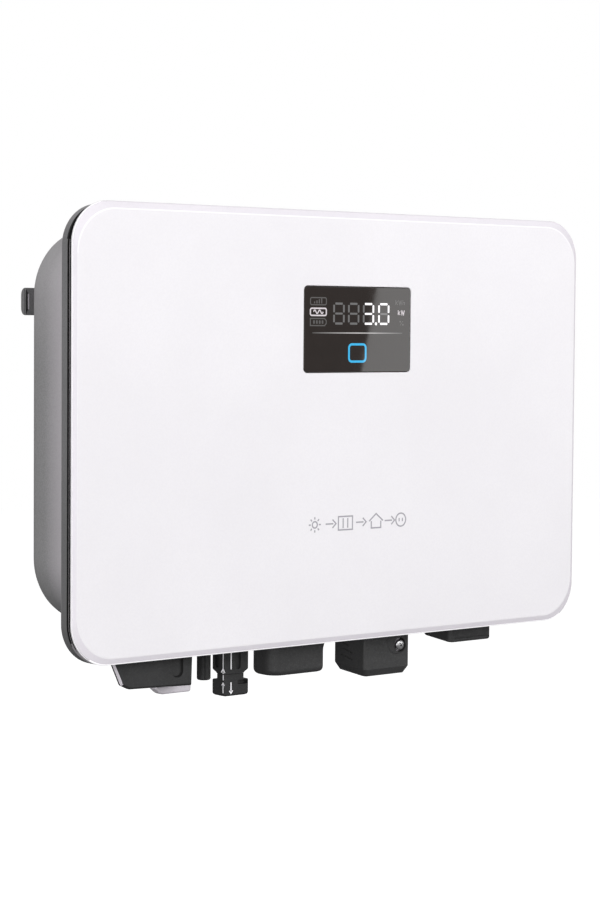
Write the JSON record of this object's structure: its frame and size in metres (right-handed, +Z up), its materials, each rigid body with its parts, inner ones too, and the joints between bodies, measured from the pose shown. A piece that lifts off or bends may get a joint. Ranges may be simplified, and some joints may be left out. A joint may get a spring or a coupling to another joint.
{
  "type": "string inverter",
  "caption": "Wall-hung string inverter: flat rounded front cover with a display, die-cast tub, finned heat sink, rotary d.c. switch and connectors underneath.",
  "frame": {"origin": "middle of the wall bracket's rear face, on the wall", "axes": "+X right as seen from the front, +Y into the wall, +Z up"},
  "size_m": [0.41, 0.15, 0.3027],
  "materials": {
    "white_paint": "satin white powder coat",
    "grey_paint": "fine-textured grey powder coat",
    "bare_aluminium": "extruded, blasted",
    "steel": "zinc plated",
    "black_plastic": "fine-grained black moulding",
    "light_plastic": "fine-grained light grey moulding",
    "smoked_acrylic": "smoked, polished",
    "black_rubber": "matt",
    "circuit_board": "solder mask",
    "blue_diffuser": "translucent, lit from behind",
    "copper": "enamelled windings",
    "grey_pad": "soft gap filler"
  },
  "bodies": {
    "casing": {"ac_bung": "black_rubber", "ac_cover": "black_plastic", "ac_cover_screw": "steel", "ac_terminal_block": "light_plastic", "accessory_cap": "black_plastic", "accessory_socket": "black_plastic", "board_standoff_1": "steel", "board_standoff_2": "steel", "board_standoff_3": "steel", "board_standoff_4": "steel", "boost_inductor": "copper", "com_bung": "black_rubber", "com_cover": "black_plastic", "com_socket": "black_plastic", "control_board": "circuit_board", "cover_gasket": "black_rubber", "dc_link_capacitor_1": "black_plastic", "dc_link_capacitor_2": "black_plastic", "dc_link_capacitor_3": "black_plastic", "dc_link_capacitor_4": "black_plastic", "dc_switch_body": "black_plastic", "dc_switch_guard": "black_plastic", "digit_display": "black_plastic", "display_board": "circuit_board", "display_window": "smoked_acrylic", "earth_screw": "steel", "emi_choke": "copper", "filter_inductor": "copper", "front_cover": "white_paint", "front_lid": "grey_paint", "grid_relay_1": "black_plastic", "grid_relay_2": "black_plastic", "hanger_bar": "grey_paint", "hanger_bolt_left": "steel", "hanger_bolt_right": "steel", "heat_sink": "bare_aluminium", "housing_tub": "grey_paint", "indicator_light_guide": "blue_diffuser", "lid_screw_1": "steel", "lid_screw_2": "steel", "lid_screw_3": "steel", "lid_screw_4": "steel", "lid_screw_5": "steel", "lid_screw_6": "steel", "lid_seal": "black_rubber", "main_board": "circuit_board", "power_module": "black_plastic", "pressure_vent": "black_plastic", "pv_negative_nut": "black_plastic", "pv_negative_socket": "black_plastic", "pv_positive_nut": "black_plastic", "pv_positive_socket": "black_plastic", "thermal_pad": "grey_pad", "wall_bracket": "steel"},
    "dc_switch": {"dc_switch_knob": "light_plastic", "dc_switch_shaft": "steel"},
    "dust_plug": {"pv_dust_plug": "black_plastic"}
  },
  "joints": [
    {"name": "dc_switch_turn", "type": "hinge", "parent": "casing", "child": "dc_switch", "pos_m": [-0.1105, -0.1152, -0.1955], "axis": [0, 0, 1], "range_deg": [0, 90]},
    {"name": "dust_plug_pull", "type": "slide", "parent": "casing", "child": "dust_plug", "axis": [0, 0, -1], "range_m": [0, 0.014]}
  ]
}
